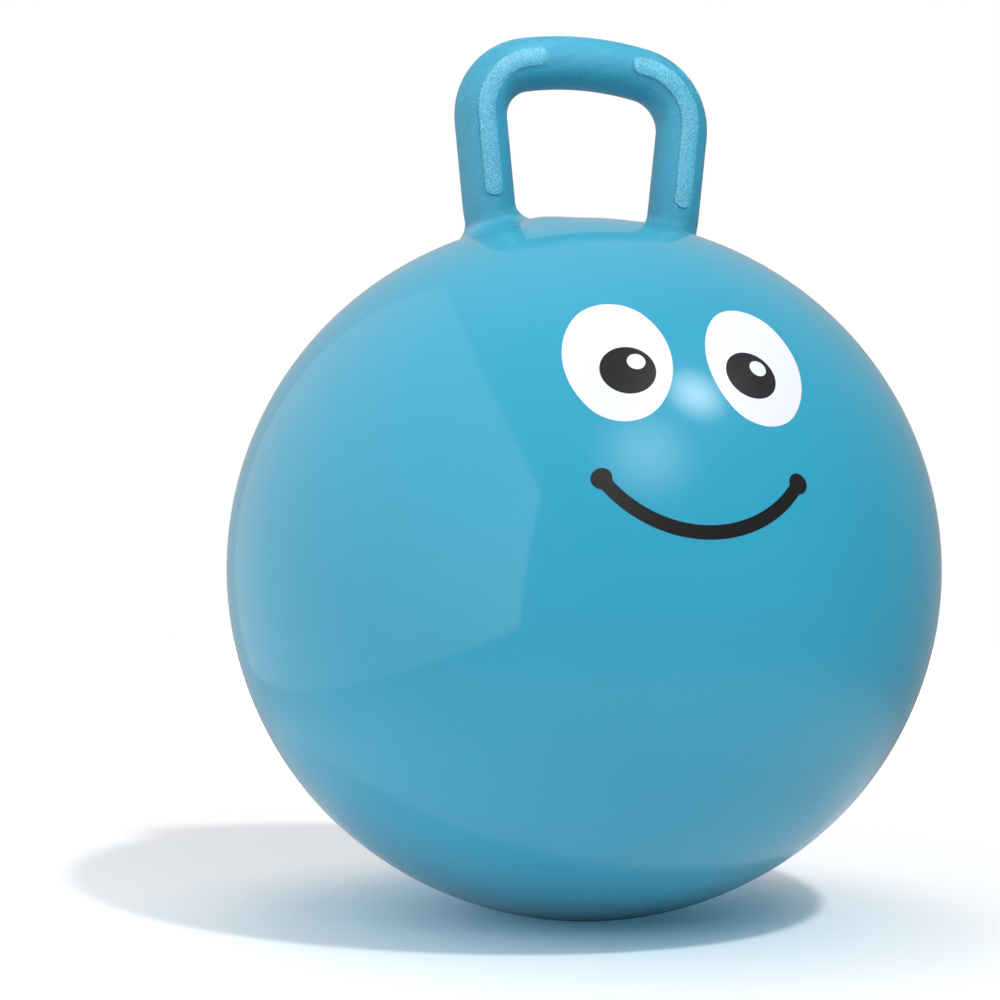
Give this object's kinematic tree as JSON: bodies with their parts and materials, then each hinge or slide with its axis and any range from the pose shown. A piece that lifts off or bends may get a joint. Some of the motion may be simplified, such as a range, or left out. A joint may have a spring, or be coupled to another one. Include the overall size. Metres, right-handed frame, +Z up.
{
  "type": "hopper ball",
  "caption": "Inflated children's bouncing ball with a looped grab handle moulded on its crown, a pull-out stopper in a soft valve, and a printed smile.",
  "frame": {"origin": "centre of the flat patch that the ball rests on, at floor level", "axes": "+Z up through the ball's crown and the handle; -Y out of the printed front; +X to the right of someone who faces the print, in the plane of the handle's loop"},
  "size_m": [0.4498, 0.45, 0.5655],
  "materials": {
    "ball_pvc": "glossy soft PVC, sky blue",
    "handle_pvc": "fine-grained matte soft PVC, sky blue, glossy at the feet",
    "valve_pvc": "satin soft PVC, white",
    "stopper_pvc": "satin soft PVC, white",
    "white_ink": "glossy screen-printed ink, white",
    "black_ink": "glossy screen-printed ink, black"
  },
  "bodies": {
    "ball": {"ball_skin": "ball_pvc", "handle": "handle_pvc", "valve_seat": "valve_pvc", "face_print_white": "white_ink", "face_print_black": "black_ink"},
    "stopper": {"valve_stopper": "stopper_pvc"}
  },
  "joints": [
    {"name": "stopper_pull", "type": "slide", "parent": "ball", "child": "stopper", "axis": [0, 0, 1], "range_m": [0, 0.025]}
  ]
}
